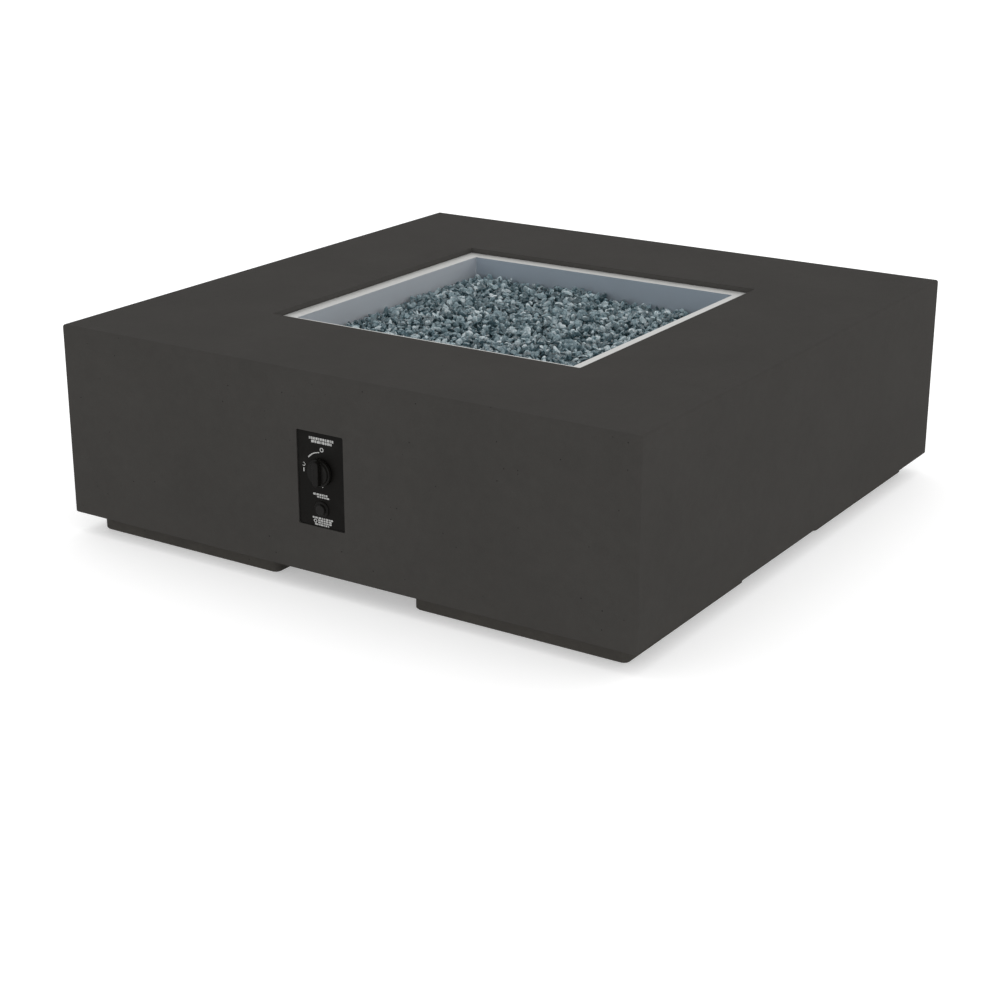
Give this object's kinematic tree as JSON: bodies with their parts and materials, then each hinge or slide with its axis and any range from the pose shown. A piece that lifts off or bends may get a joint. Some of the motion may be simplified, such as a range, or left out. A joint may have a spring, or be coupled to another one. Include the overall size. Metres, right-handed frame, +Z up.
{
  "type": "fire pit",
  "caption": "Low square concrete gas fire table with a drop-in steel burner pan of fire glass, a push-and-turn gas knob and a spark button.",
  "frame": {"origin": "on the floor, under the middle of the table's square plan", "axes": "+Z up; -Y is the front face with the control panel; +X is to the right as seen from the front"},
  "size_m": [1.219, 1.2345, 0.406],
  "materials": {
    "concrete": "glass-fibre reinforced cast concrete, charcoal, honed and sealed",
    "stainless": "brushed 304 stainless sheet and tube",
    "zinc_steel": "zinc-plated steel",
    "brass": "machined brass",
    "valve_alloy": "die-cast alloy, as cast",
    "copper": "drawn copper capillary",
    "panel_black": "black powder coat, satin",
    "knob_black": "moulded black phenolic",
    "button_black": "moulded black nylon",
    "igniter_black": "moulded black nylon",
    "battery_case": "plain printed steel can",
    "rubber": "black EPDM",
    "gasket": "high-temperature gasket strip",
    "ceramic": "white alumina",
    "silicone": "silicone-rubber sheath",
    "fire_glass": "crushed tempered fire glass, blue-grey"
  },
  "bodies": {
    "fire_table": {"concrete_shell": "concrete", "pan_gasket": "gasket", "burner_pan": "stainless", "burner_ring": "stainless", "burner_stands": "stainless", "burner_nipple": "zinc_steel", "nipple_top_nut": "brass", "nipple_bottom_nut": "brass", "inlet_elbow": "brass", "air_mixer": "zinc_steel", "gas_jet": "brass", "valve_body": "valve_alloy", "magnet_unit": "brass", "valve_spring": "stainless", "valve_bracket": "zinc_steel", "valve_screws": "zinc_steel", "gas_inlet_fitting": "brass", "gas_outlet_fitting": "brass", "flex_connector": "stainless", "connector_nuts": "brass", "control_panel": "panel_black", "panel_studs": "zinc_steel", "panel_clamps": "zinc_steel", "panel_nuts": "zinc_steel", "igniter_body": "igniter_black", "igniter_nut": "igniter_black", "igniter_spring": "stainless", "igniter_battery": "battery_case", "pilot_hood": "stainless", "pilot_screws": "zinc_steel", "pilot_screw_nuts": "zinc_steel", "electrode_insulator": "ceramic", "electrode_rod": "stainless", "thermocouple_probe": "stainless", "thermocouple_lead": "copper", "ignition_lead": "silicone", "glass_bed": "fire_glass", "foot_bolts": "zinc_steel", "foot_inserts": "brass", "foot_front_left": "concrete", "foot_pad_front_left": "rubber", "foot_front_right": "concrete", "foot_pad_front_right": "rubber", "foot_back_left": "concrete", "foot_pad_back_left": "rubber", "foot_back_right": "concrete", "foot_pad_back_right": "rubber"},
    "valve_plunger": {"valve_plunger": "brass"},
    "knob": {"valve_stem": "brass", "control_knob": "knob_black", "knob_screw": "zinc_steel"},
    "air_shutter": {"air_shutter": "stainless", "shutter_screw": "zinc_steel"},
    "igniter_button": {"igniter_button": "button_black"}
  },
  "joints": [
    {"name": "knob_push", "type": "slide", "parent": "fire_table", "child": "valve_plunger", "axis": [0, 1, 0], "range_m": [0, 0.003], "stiffness_N_per_m": 900, "springref_m": -0.004, "deforming": ["valve_spring"]},
    {"name": "knob_turn", "type": "hinge", "parent": "valve_plunger", "child": "knob", "pos_m": [-0.016, -0.6, 0.23], "axis": [0, -1, 0], "range_deg": [0, 90]},
    {"name": "shutter_turn", "type": "hinge", "parent": "fire_table", "child": "air_shutter", "pos_m": [0, -0.089, 0.238], "axis": [0, 1, 0], "range_deg": [0, 45]},
    {"name": "igniter_push", "type": "slide", "parent": "fire_table", "child": "igniter_button", "axis": [0, 1, 0], "range_m": [0, 0.003], "stiffness_N_per_m": 700, "springref_m": -0.004, "deforming": ["igniter_spring"]}
  ]
}
